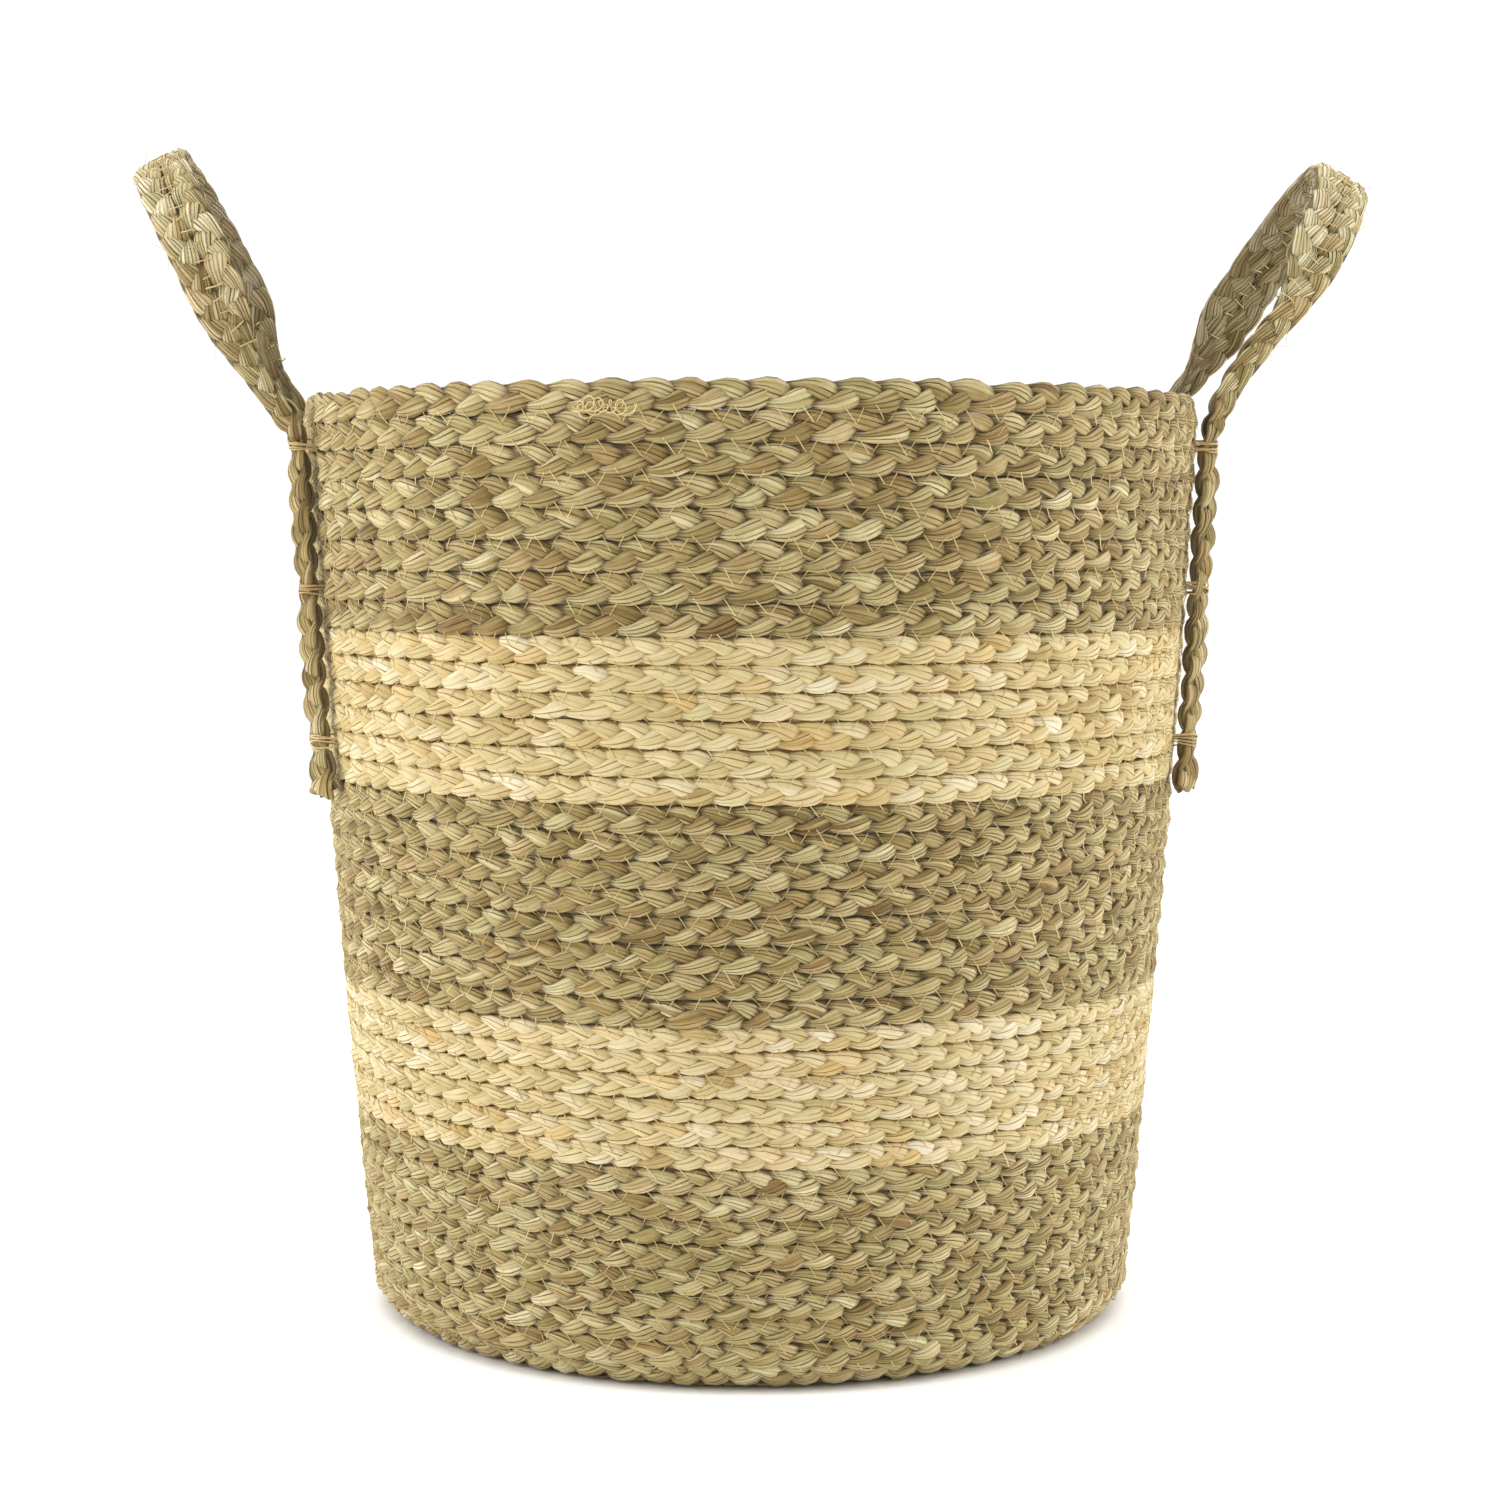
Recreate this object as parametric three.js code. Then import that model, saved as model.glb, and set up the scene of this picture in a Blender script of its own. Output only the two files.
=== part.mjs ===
// A round storage basket of coiled braids: five bands sewn row on row, a flat spiral base, and two strap
// handles of paired braids, each standing on two legs that are lashed to the outside of the wall.
// Millimetres, +Z up, origin at the middle of the underside, handles along X, front towards -Y.
import * as THREE from "three";

// Wall: bands from the floor up, each of so many rows of braid at one row pitch.
const bands = [
  { name: "bottom_seagrass_coil", rows: 9, pitch: 9.02, fibre: "seagrass" },
  { name: "lower_husk_coil", rows: 6, pitch: 8.47, fibre: "cornhusk" },
  { name: "middle_seagrass_coil", rows: 8, pitch: 9.69, fibre: "seagrass" },
  { name: "upper_husk_coil", rows: 6, pitch: 9.67, fibre: "cornhusk" },
  { name: "top_seagrass_coil", rows: 8, pitch: 10.87, fibre: "seagrass" },
];
const wallHeight = bands.reduce((sum, band) => sum + band.rows * band.pitch, 0);
const floorRadius = 149; // outer radius, if the wall ran straight to the floor
const rimRadius = 175; // outer radius at the rim
const wallBulge = 2.2; // how far the wall swells half-way up
const braidThick = 7; // thickness of the wall and of the base
const cornerInset = 8; // how far the lowest row tucks in under the wall
const cornerHeight = 8;
const rimRound = 3; // the top row's rounded shoulder
const clearance = 0.3; // between pieces that touch on the real basket
const ringSegments = 48;

// Handles: one size for both sides, with its own lean for each.
const legSpacing = 100; // between the two legs' middles, along Y
const braidWide = 11;
const legThick = 7;
const legStandoff = 5.4; // from the wall's outside to the middle of a leg
const tailHeight = 205; // where the cut end of a leg hangs
const tailFlare = 1.2; // the cut end spreads by this share
const legBendHeight = 341; // above this a leg leans out with its handle
const tieHeights = { top: 335, middle: 282, bottom: 224 };
const tieBand = 1; // thickness of the twine lashing
const tieTall = 4.5;
const hinge = new THREE.Vector3(181, 0, 354.5); // where the strap flexes, just outside the rim
const hingeGap = 5.3; // from the hinge's axis down to the top of a leg
const rootHalf = 4.6; // half width of the strap at the hinge
const archBase = 48; // height above the hinge where the loop starts to close
const archRise = 52;
const gripThick = 8;
const pairHeight = 52; // the strap is two full braids wide above this
const innerTipHeight = 20; // where the second braid's tapered ends are sewn in
const innerTipHalf = 1.6;
const sides = [
  { name: "right", turn: 0, lean: 30.5 },
  { name: "left", turn: 180, lean: 27.5 },
];
const strandSides = 10;
const gripSteps = 36;
const legSteps = 14;

const finishes = {
  seagrass: { color: 0x9a8558, roughness: 0.85, metalness: 0 },
  cornhusk: { color: 0xd2bd89, roughness: 0.7, metalness: 0 },
  handleSeagrass: { color: 0xb8a276, roughness: 0.85, metalness: 0 },
  twine: { color: 0xb99a68, roughness: 0.9, metalness: 0 },
};

const degrees = THREE.MathUtils.degToRad;
const smooth = THREE.MathUtils.smoothstep;

function named(name, geometry, finish) {
  const mesh = new THREE.Mesh(geometry, new THREE.MeshStandardMaterial(finishes[finish]));
  mesh.name = name;
  return mesh;
}

// Outer radius of the wall: a straight taper plus a slight parabolic swell.
function wallRadius(height) {
  const share = height / wallHeight;
  const swell = wallBulge * 4 * share * (1 - share);
  return floorRadius + (rimRadius - floorRadius) * share + swell;
}

// A profile of [radius, height] pairs turned about Z.
function turned(profile) {
  const points = profile.map(([radius, height]) => new THREE.Vector2(radius, height));
  return new THREE.LatheGeometry(points, ringSegments).rotateX(Math.PI / 2);
}

// ---- Base: a flat spiral, as a plain disc inside the lowest row
const baseRadius = wallRadius(0) - cornerInset - braidThick + 1;

function baseCoil() {
  const profile = [
    [0, 0],
    [baseRadius, 0],
    [baseRadius, braidThick],
    [0, braidThick],
  ];
  return named("base_coil", turned(profile), "seagrass");
}

// ---- Wall: one closed ring for each band
function outerFoot() {
  const footRadius = wallRadius(0) - cornerInset;
  const arc = [0, 30, 60].map((angle) => [
    footRadius + (wallRadius(cornerHeight) - footRadius) * Math.sin(degrees(angle)),
    cornerHeight * (1 - Math.cos(degrees(angle))),
  ]);
  return [...arc, [wallRadius(cornerHeight), cornerHeight]];
}

function innerFoot() {
  const footRadius = baseRadius + clearance;
  const shoulder = wallRadius(0) - braidThick;
  return [
    [shoulder, braidThick + cornerHeight],
    [shoulder - cornerInset / 3, braidThick + cornerHeight / 3],
    [footRadius, braidThick],
    [footRadius, 0],
  ];
}

function rimShoulder(top) {
  const outer = wallRadius(top);
  const inner = outer - braidThick;
  return [
    [outer, top - rimRound],
    [outer - rimRound / 3, top - rimRound / 3],
    [outer - rimRound, top],
    [inner + rimRound, top],
    [inner + rimRound / 3, top - rimRound / 3],
    [inner, top - rimRound],
  ];
}

function bandRing(band, bottom, isFirst, isLast) {
  const top = bottom + band.rows * band.pitch;
  const low = bottom + clearance / 2;
  const high = top - clearance / 2;
  const middle = (low + high) / 2;
  const outside = (height) => [wallRadius(height), height];
  const inside = (height) => [wallRadius(height) - braidThick, height];
  const profile = [
    ...(isFirst ? outerFoot() : [outside(low)]),
    outside(middle),
    ...(isLast ? rimShoulder(top) : [outside(high), inside(high)]),
    inside(middle),
    ...(isFirst ? innerFoot() : [inside(low)]),
  ];
  profile.push(profile[0]);
  return named(band.name, turned(profile), band.fibre);
}

function wall() {
  const rings = new THREE.Group();
  let bottom = 0;
  bands.forEach((band, index) => {
    rings.add(bandRing(band, bottom, index === 0, index === bands.length - 1));
    bottom += band.rows * band.pitch;
  });
  return rings;
}

// ---- Strands: a cylinder bent along a curve, with a rounded oblong section
// sectionAt(share) gives {wide, halfWide, halfThick} at that share of the length.
function strand(curve, steps, sectionAt) {
  const geometry = new THREE.CylinderGeometry(1, 1, 1, strandSides, steps);
  const place = geometry.attributes.position;
  const oblong = (value) => Math.sign(value) * Math.abs(value) ** 0.6;
  for (let i = 0; i < place.count; i += 1) {
    const share = THREE.MathUtils.clamp(place.getY(i) + 0.5, 0, 1);
    const { wide, halfWide, halfThick } = sectionAt(share);
    const tangent = curve.getTangentAt(share);
    const across = wide.clone().addScaledVector(tangent, -wide.dot(tangent)).normalize();
    const through = new THREE.Vector3().crossVectors(across, tangent);
    const point = curve
      .getPointAt(share)
      .addScaledVector(across, halfWide * oblong(place.getX(i)))
      .addScaledVector(through, halfThick * oblong(place.getZ(i)));
    place.setXYZ(i, point.x, point.y, point.z);
  }
  return geometry;
}

// ---- Legs: single braids down the outside of the wall, in a frame whose +X points away from the basket
function legPoint(height, side) {
  const reach = wallRadius(height) + legStandoff;
  const across = (side * legSpacing) / 2;
  return new THREE.Vector3(Math.sqrt(reach ** 2 - across ** 2), across, height);
}

function legCurve(side, lean) {
  const end = hinge.clone().setY((side * legSpacing) / 2);
  end.x -= hingeGap * Math.sin(degrees(lean));
  end.z -= hingeGap * Math.cos(degrees(lean));
  const heights = [tailHeight, 225, 250, 280, 310, legBendHeight - 10, legBendHeight];
  return new THREE.CatmullRomCurve3([...heights.map((height) => legPoint(height, side)), end]);
}

function wallTangent(point) {
  return new THREE.Vector3(-point.y, point.x, 0).normalize();
}

function leg(name, side, lean) {
  const curve = legCurve(side, lean);
  const geometry = strand(curve, legSteps, (share) => {
    const point = curve.getPointAt(share);
    const rising = smooth(point.z, legBendHeight, hinge.z - hingeGap);
    const flare = 1 + (tailFlare - 1) * (1 - smooth(point.z, tailHeight, tailHeight + 12));
    return {
      wide: wallTangent(point),
      halfWide: THREE.MathUtils.lerp((braidWide / 2) * flare, gripThick / 2, rising),
      halfThick: THREE.MathUtils.lerp(legThick / 2, rootHalf, rising),
    };
  });
  return named(name, geometry, "handleSeagrass");
}

// ---- Ties: a band of twine round a leg, sewn through the wall behind it
function oblongShape(Kind, halfWide, halfThick, corner) {
  const x = halfWide - corner;
  const y = halfThick - corner;
  const quarter = Math.PI / 2;
  const outline = new Kind();
  outline.absarc(x, y, corner, 0, quarter);
  outline.absarc(-x, y, corner, quarter, 2 * quarter);
  outline.absarc(-x, -y, corner, 2 * quarter, 3 * quarter);
  outline.absarc(x, -y, corner, 3 * quarter, 4 * quarter);
  return outline.closePath();
}

function tie(name, side, height) {
  const innerWide = braidWide / 2 + clearance;
  const innerThick = legThick / 2 + clearance;
  const corner = 2.5;
  const band = oblongShape(THREE.Shape, innerWide + tieBand, innerThick + tieBand, corner + tieBand);
  band.holes.push(oblongShape(THREE.Path, innerWide, innerThick, corner));
  const settings = { depth: tieTall, bevelEnabled: false, curveSegments: 3 };
  const mesh = named(name, new THREE.ExtrudeGeometry(band, settings), "twine");
  const bottom = legPoint(height - tieTall / 2, side);
  const upward = legPoint(height + tieTall / 2, side).sub(bottom).normalize();
  const across = wallTangent(bottom);
  const outward = new THREE.Vector3().crossVectors(upward, across);
  mesh.quaternion.setFromRotationMatrix(new THREE.Matrix4().makeBasis(across, outward, upward));
  mesh.position.copy(bottom);
  return mesh;
}

// ---- Grips: the loop, in a frame at the hinge whose +Z runs up the strap and +X faces out
const braidHalf = (height) =>
  height < 0
    ? Math.sqrt(Math.max(rootHalf ** 2 - height ** 2, 0))
    : THREE.MathUtils.lerp(rootHalf, braidWide / 2, smooth(height, 0, pairHeight));
const innerHalf = (height) =>
  THREE.MathUtils.lerp(innerTipHalf, braidWide / 2, smooth(height, innerTipHeight, pairHeight));
const outerMiddle = (height) =>
  ((braidWide + clearance) / 2) * smooth(height, 0, pairHeight);
const innerMiddle = (height) =>
  outerMiddle(height) - braidHalf(height) - clearance - innerHalf(height);

function loopCurve(startHeight, middleAt) {
  const half = legSpacing / 2;
  const line = new THREE.Path().moveTo(-half, startHeight).lineTo(-half, archBase);
  line.absellipse(0, archBase, half, archRise, Math.PI, 0, true);
  line.lineTo(half, startHeight);
  const points = line.getSpacedPoints(gripSteps);
  return new THREE.CatmullRomCurve3(
    points.map((point) => new THREE.Vector3(middleAt(point.y), point.x, point.y)),
  );
}

function grip(name, startHeight, middleAt, halfAt) {
  const curve = loopCurve(startHeight, middleAt);
  const wide = new THREE.Vector3(1, 0, 0);
  const geometry = strand(curve, gripSteps, (share) => ({
    wide,
    halfWide: halfAt(curve.getPointAt(share).z),
    halfThick: gripThick / 2,
  }));
  return named(name, geometry, "handleSeagrass");
}

function handle({ name, turn, lean }) {
  const group = new THREE.Group();
  group.rotation.z = degrees(turn);
  const loop = new THREE.Group();
  loop.position.copy(hinge);
  loop.rotation.y = degrees(lean);
  loop.add(grip(`${name}_outer_grip_braid`, -rootHalf * 0.9, outerMiddle, braidHalf));
  loop.add(grip(`${name}_inner_grip_braid`, innerTipHeight, innerMiddle, innerHalf));
  group.add(loop);
  for (const end of ["front", "back"]) {
    const side = (end === "front" ? -1 : 1) * Math.cos(degrees(turn));
    group.add(leg(`${name}_${end}_leg`, side, lean));
    for (const [level, height] of Object.entries(tieHeights))
      group.add(tie(`${name}_${end}_${level}_tie`, side, height));
  }
  return group;
}

const basket = new THREE.Group();
basket.add(baseCoil(), wall(), ...sides.map(handle));

export default basket;
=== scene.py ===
import math

import bpy
import numpy as np
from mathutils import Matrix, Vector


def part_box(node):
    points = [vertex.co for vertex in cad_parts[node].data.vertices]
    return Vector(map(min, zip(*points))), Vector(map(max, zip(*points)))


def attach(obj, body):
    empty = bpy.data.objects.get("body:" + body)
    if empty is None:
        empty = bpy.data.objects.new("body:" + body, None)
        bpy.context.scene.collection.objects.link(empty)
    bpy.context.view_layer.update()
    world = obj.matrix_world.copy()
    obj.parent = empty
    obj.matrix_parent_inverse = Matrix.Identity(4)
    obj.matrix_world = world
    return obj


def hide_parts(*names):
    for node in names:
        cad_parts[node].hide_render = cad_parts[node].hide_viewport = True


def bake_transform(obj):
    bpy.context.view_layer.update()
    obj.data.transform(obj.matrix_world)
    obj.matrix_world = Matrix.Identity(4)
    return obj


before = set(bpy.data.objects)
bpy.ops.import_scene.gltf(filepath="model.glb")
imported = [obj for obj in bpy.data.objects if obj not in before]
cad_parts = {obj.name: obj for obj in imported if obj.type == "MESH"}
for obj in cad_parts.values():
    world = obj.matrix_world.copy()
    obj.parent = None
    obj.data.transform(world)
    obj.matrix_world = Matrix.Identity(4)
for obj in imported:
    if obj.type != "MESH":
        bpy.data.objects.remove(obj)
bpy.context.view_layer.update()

mm = 0.001
pieceValues = ("tone", "hue", "nook", "blade")  # what each point of a piece tells its material


# ---- Small tools

def hexColour(code):
    # sRGB hex to linear: below 0.04045 divided by 12.92, above it the 2.4 power curve
    parts = [int(code[i:i + 2], 16) / 255 for i in (1, 3, 5)]
    return (*[p / 12.92 if p <= 0.04045 else ((p + 0.055) / 1.055) ** 2.4 for p in parts], 1)


def smooth(value, low, high):
    # 0 below low, 1 above high, and 3t^2 - 2t^3 between them
    t = np.clip((value - low) / (high - low), 0, 1)
    return t * t * (3 - 2 * t)


def unit(vectors):
    # each vector divided by its own length
    return vectors / np.linalg.norm(vectors, axis=-1, keepdims=True)


def drift(count, knots, rng, closed=False):
    # random heights between -1 and 1 at the knots, joined by smooth ramps, and sampled evenly
    heights = rng.uniform(-1, 1, knots + 1)
    if closed:
        heights[-1] = heights[0]
    place = np.linspace(0, knots, count, endpoint=not closed)
    low = np.minimum(place.astype(int), knots - 1)
    part = smooth(place - low, 0, 1)
    return heights[low] * (1 - part) + heights[low + 1] * part


def tubeFaces(tubes, rings, sides, closed):
    # a face joins a point to the next one round the section and to the same two on the next ring
    ring, side = np.meshgrid(np.arange(rings if closed else rings - 1), np.arange(sides), indexing="ij")
    ring = np.stack([ring, ring, ring + 1, ring + 1], -1)
    side = np.stack([side, side + 1, side + 1, side], -1)
    face = (ring % rings) * sides + side % sides
    faces = face[None] + (np.arange(tubes) * rings * sides)[:, None, None, None]
    shape = faces.shape
    return (faces.reshape(-1, 4), np.broadcast_to(ring, shape).reshape(-1, 4),
            np.broadcast_to(side, shape).reshape(-1, 4))


def tubePart(points, along, around, tone, hue, nook, closed, blade=None):
    # points[tube, ring, side]; the map's u is metres along the tube and v metres round its section
    tubes, rings, sides = points.shape[:3]
    faces, ring, side = tubeFaces(tubes, rings, sides, closed)
    perTube = len(faces) // tubes
    step = along[-1] - along[-2]
    longer = np.append(along, along[-1] + step)
    u = longer[ring] + np.repeat(np.arange(tubes) * 0.731, perTube)[:, None]
    v = side / sides * around + np.repeat(np.arange(tubes) * 0.0173, perTube)[:, None]
    part = {"points": points.reshape(-1, 3), "quads": faces, "quadMap": np.stack([u, v], -1)}
    blade = np.full(nook.shape, 0.5) if blade is None else blade
    told = dict(zip(pieceValues, (tone, hue, nook, blade)))
    part.update({key: values.ravel() for key, values in told.items()})
    if not closed:  # each end is a fan of triangles round a point at the section's middle
        first = np.arange(tubes) * rings * sides
        last = first + (rings - 1) * sides
        spin = np.arange(sides)
        total = tubes * rings * sides
        middles = np.concatenate([points[:, 0].mean(1), points[:, -1].mean(1)])
        startFan = np.stack([first[:, None] + (spin + 1) % sides, first[:, None] + spin,
                             np.repeat(total + np.arange(tubes), sides).reshape(tubes, sides)], -1)
        endFan = np.stack([last[:, None] + spin, last[:, None] + (spin + 1) % sides,
                           np.repeat(total + tubes + np.arange(tubes), sides).reshape(tubes, sides)], -1)
        part["tris"] = np.concatenate([startFan.reshape(-1, 3), endFan.reshape(-1, 3)])
        part["points"] = np.concatenate([part["points"], middles])
        for key, values in told.items():
            part[key] = np.concatenate([part[key], values[:, 0].mean(1), values[:, -1].mean(1)])
    return part


def addPiece(name, parts, material):
    # one mesh from several parts, with its map and the four values that its material reads
    offsets = np.cumsum([0] + [len(part["points"]) for part in parts])
    points = np.concatenate([part["points"] for part in parts])
    quads = np.concatenate([part["quads"] + low for part, low in zip(parts, offsets)])
    tris = [part["tris"] + low for part, low in zip(parts, offsets) if "tris" in part]
    tris = np.concatenate(tris) if tris else np.zeros((0, 3), int)
    corners = np.concatenate([quads.ravel(), tris.ravel()]).astype(np.int32)
    starts = np.concatenate([np.arange(len(quads)) * 4, quads.size + np.arange(len(tris)) * 3])
    mesh = bpy.data.meshes.new(name)
    mesh.vertices.add(len(points))
    mesh.vertices.foreach_set("co", points.astype(np.float32).ravel())
    mesh.loops.add(len(corners))
    mesh.loops.foreach_set("vertex_index", corners)
    mesh.polygons.add(len(starts))
    mesh.polygons.foreach_set("loop_start", starts.astype(np.int32))
    mesh.polygons.foreach_set("use_smooth", np.ones(len(starts), bool))
    fibreMap = np.zeros((len(corners), 2), np.float32)
    fibreMap[:quads.size] = np.concatenate([part["quadMap"] for part in parts]).reshape(-1, 2)
    mesh.uv_layers.new(name="fibre").data.foreach_set("uv", fibreMap.ravel())
    for key in pieceValues:
        values = np.concatenate([part[key] for part in parts]).astype(np.float32)
        mesh.attributes.new(key, "FLOAT", "POINT").data.foreach_set("value", values)
    mesh.update(calc_edges=True)
    mesh.validate()
    mesh.materials.append(material)
    piece = bpy.data.objects.new(name, mesh)
    bpy.context.scene.collection.objects.link(piece)
    print(name, len(quads) * 2 + len(tris), "triangles")
    return piece


# ---- Materials

def addNode(tree, kind, links=None, values=None, stops=None, give=0, **settings):
    # adds one node, sets it and its inputs, links its inputs, places a ramp's stops, and gives one output
    node = tree.nodes.new("ShaderNode" + kind)
    for key, value in settings.items():
        setattr(node, key, value)
    for key, value in (values or {}).items():
        node.inputs[key].default_value = value
    for key, source in (links or {}).items():
        tree.links.new(source, node.inputs[key])
    for index, (place, colour) in enumerate(stops or []):
        ramp = node.color_ramp.elements
        stop = ramp[index] if index < 2 else ramp.new(place)
        stop.position, stop.color = place, hexColour(colour)
    return node.outputs[give]


# Dried leaf: its colour runs from dark to bleached with the leaf's tone; thin dark creases, painted shade in
# the gaps between blades, and fine fibre lines run along it, which is what shows a bundle of flat blades to
# the eye.
blotchShare = 0.3  # how far slow blotches shift a leaf's tone
creaseDeep = 1.3  # a crease is this much deeper than a fibre line
multiply = {"data_type": "RGBA", "blend_type": "MULTIPLY", "give": 2}


def driedLeaf(name, look):
    material = bpy.data.materials.new(name)
    material.use_nodes = True
    tree = material.node_tree
    shader = tree.nodes["Principled BSDF"]
    tone, hue, nook, blade = (addNode(tree, "Attribute", attribute_name=key, give="Fac")
                              for key in pieceValues)
    uv = addNode(tree, "UVMap", uv_map="fibre")

    def lines(length, width, detail):
        # noise stretched along the leaf: one cell is length by width, in millimetres
        place = addNode(tree, "Mapping", {"Vector": uv}, {"Scale": (1000 / length, 1000 / width, 1)})
        noise = {"Scale": 1.0, "Detail": detail, "Roughness": 0.6}
        return addNode(tree, "TexNoise", {"Vector": place}, noise, noise_dimensions="2D")

    # a gap is where the blade count, which wanders a little along the leaf, passes a whole number
    wander = addNode(tree, "Math", {0: lines(look["creaseLong"], 7, 1.0), 2: blade}, {1: look["wander"]},
                     operation="MULTIPLY_ADD")
    wander = addNode(tree, "Math", {0: wander}, {1: look["wander"] / 2}, operation="SUBTRACT")
    apart = addNode(tree, "Math", {0: wander}, {1: 0.5}, operation="PINGPONG")
    gapShare = addNode(tree, "MapRange", {"Value": lines(look["creaseLong"] * 0.7, 2.4, 1.0)},
                       {"From Min": 0.36, "From Max": 0.62})
    fibres = lines(look["fibreLong"], look["fibreApart"], 3.0)
    blotch = lines(9, 6, 2.0)
    lift = addNode(tree, "Math", {0: fibres}, {1: look["fibreShare"], 2: -look["fibreShare"] / 2},
                   operation="MULTIPLY_ADD")
    lift = addNode(tree, "Math", {0: blotch, 2: lift}, {1: blotchShare}, operation="MULTIPLY_ADD")
    shade = addNode(tree, "Math", {0: tone, 1: lift}, operation="ADD")
    shade = addNode(tree, "Math", {0: shade}, {1: blotchShare / 2}, operation="SUBTRACT")
    colour = addNode(tree, "ValToRGB", {"Fac": shade}, stops=look["tones"])
    tint = addNode(tree, "ValToRGB", {"Fac": hue}, stops=look["hues"])
    colour = addNode(tree, "Mix", {6: colour, 7: tint}, {0: look["hueShare"]}, **multiply)
    # painted shade: the dark crease colour marks the gaps between blades, where shade falls, since the blades
    # are not modelled apart
    crease = addNode(tree, "ValToRGB", {"Fac": apart}, stops=look["creases"])
    shown = addNode(tree, "Math", {0: gapShare}, {1: look["creaseShare"]}, operation="MULTIPLY")
    colour = addNode(tree, "Mix", {0: shown, 6: colour, 7: crease}, **multiply)
    # painted shade, with a little dust: the colour is multiplied towards the nook colour where the strands
    # sink between their neighbours
    deep = addNode(tree, "Math", {0: nook}, {1: look["nookShare"]}, operation="MULTIPLY")
    dark = addNode(tree, "Mix", {0: deep, 6: colour}, {7: hexColour(look["nook"])}, **multiply)
    low, high = look["rough"]
    rough = addNode(tree, "MapRange", {"Value": fibres}, {"To Min": low, "To Max": high})
    creaseDepth = addNode(tree, "SeparateColor", {0: crease})
    height = addNode(tree, "Math", {0: creaseDepth, 2: fibres}, {1: creaseDeep}, operation="MULTIPLY_ADD")
    bump = addNode(tree, "Bump", {"Height": height}, {"Strength": look["bump"], "Distance": 0.4 * mm})
    for key, source in (("Base Color", dark), ("Roughness", rough), ("Normal", bump)):
        tree.links.new(source, shader.inputs[key])
    shader.inputs["Specular IOR Level"].default_value = look["specular"]
    shader.inputs["Sheen Weight"].default_value = look["sheen"]  # loose fibres catch the light at the outline
    shader.inputs["Sheen Tint"].default_value = hexColour(look["sheenTint"])
    return material


# Seagrass: dried flat sedge blades, dull olive straw with a few green, rosy and rusty blades.
seagrassLook = {
    "tones": [(0.0, "#70562a"), (1.0, "#f6eac2"), (0.30, "#a58c56"), (0.55, "#c9b683"), (0.78, "#e2d3a6")],
    "hues": [(0.0, "#d3dcc0"), (1.0, "#edc79e"), (0.24, "#f0f3e4"), (0.6, "#fbf7ee"), (0.88, "#f8ebdc")],
    "hueShare": 1.0, "creases": [(0.04, "#5f431a"), (0.19, "#ffffff")],
    "creaseShare": 0.95, "creaseLong": 34, "wander": 1.3, "fibreLong": 16, "fibreApart": 0.5,
    "fibreShare": 0.5, "nook": "#4c2e08", "nookShare": 0.93, "rough": (0.6, 0.9), "bump": 0.8,
    "specular": 0.3, "sheen": 0.4, "sheenTint": "#f0e4c4",
}
# Cornhusk: papery outer leaves of maize, pale cream, smooth, with faint lengthwise veins.
huskLook = {
    "tones": [(0.0, "#a2854e"), (1.0, "#f8f2de"), (0.30, "#cab682"), (0.55, "#dfcfa0"), (0.78, "#ecdfbe")],
    "hues": [(0.0, "#ecf1d6"), (1.0, "#f9dca8"), (0.25, "#fbfaf0"), (0.6, "#fffaf0"), (0.85, "#fbebcd")],
    "hueShare": 1.0, "creases": [(0.04, "#9c7434"), (0.13, "#ffffff")],
    "creaseShare": 0.85, "creaseLong": 36, "wander": 1.2, "fibreLong": 20, "fibreApart": 0.5,
    "fibreShare": 0.6, "nook": "#8a6426", "nookShare": 0.75, "rough": (0.5, 0.75), "bump": 0.7,
    "specular": 0.3, "sheen": 0.12, "sheenTint": "#f0e2b4",
}
# Handle seagrass: the same sedge, picked longer and paler, so that the straps look bleached.
handleLook = dict(
    seagrassLook,
    tones=[(0.0, "#6d5226"), (1.0, "#fcf2d2"), (0.30, "#a78f58"), (0.55, "#cdb986"), (0.78, "#e6d7ac")],
    creaseLong=42, creaseShare=1.0, fibreLong=22, bump=1.0,
)
# Sewing thread: a thin twisted plant fibre, smoother and yellower than the braid, so it reads as a fine line.
threadLook = dict(
    huskLook,
    tones=[(0.0, "#a88a4c"), (1.0, "#f3e5b8"), (0.30, "#c6ab6a"), (0.55, "#d9c38a"), (0.78, "#e6d4a0")],
    hueShare=0.4, nookShare=0.5, creaseShare=0.0, fibreShare=0.2, bump=0.2,
)
# Twine: coarse straw-coloured yarn, matt and blotchy, with no blades to show.
twineLook = dict(
    seagrassLook,
    tones=[(0.0, "#8f774a"), (1.0, "#efdfb6"), (0.30, "#b39a68"), (0.55, "#cbb586"), (0.78, "#dccb9e")],
    hues=[(0.0, "#fff8ee"), (1.0, "#fff0de"), (0.5, "#fff6ea")],
    creaseShare=0.0, creaseLong=5, fibreLong=4, fibreApart=0.5,
)
seagrass = driedLeaf("seagrass_dried_blades", seagrassLook)
cornhusk = driedLeaf("cornhusk_dried", huskLook)
handleSeagrass = driedLeaf("handle_seagrass_dried_blades", handleLook)
sewingThread = driedLeaf("plant_fibre_thread", threadLook)
twine = driedLeaf("coarse_plant_twine", twineLook)
print("materials made")


# ---- Braid: three flat strands that swing from edge to edge and dive under each other in turn

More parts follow.
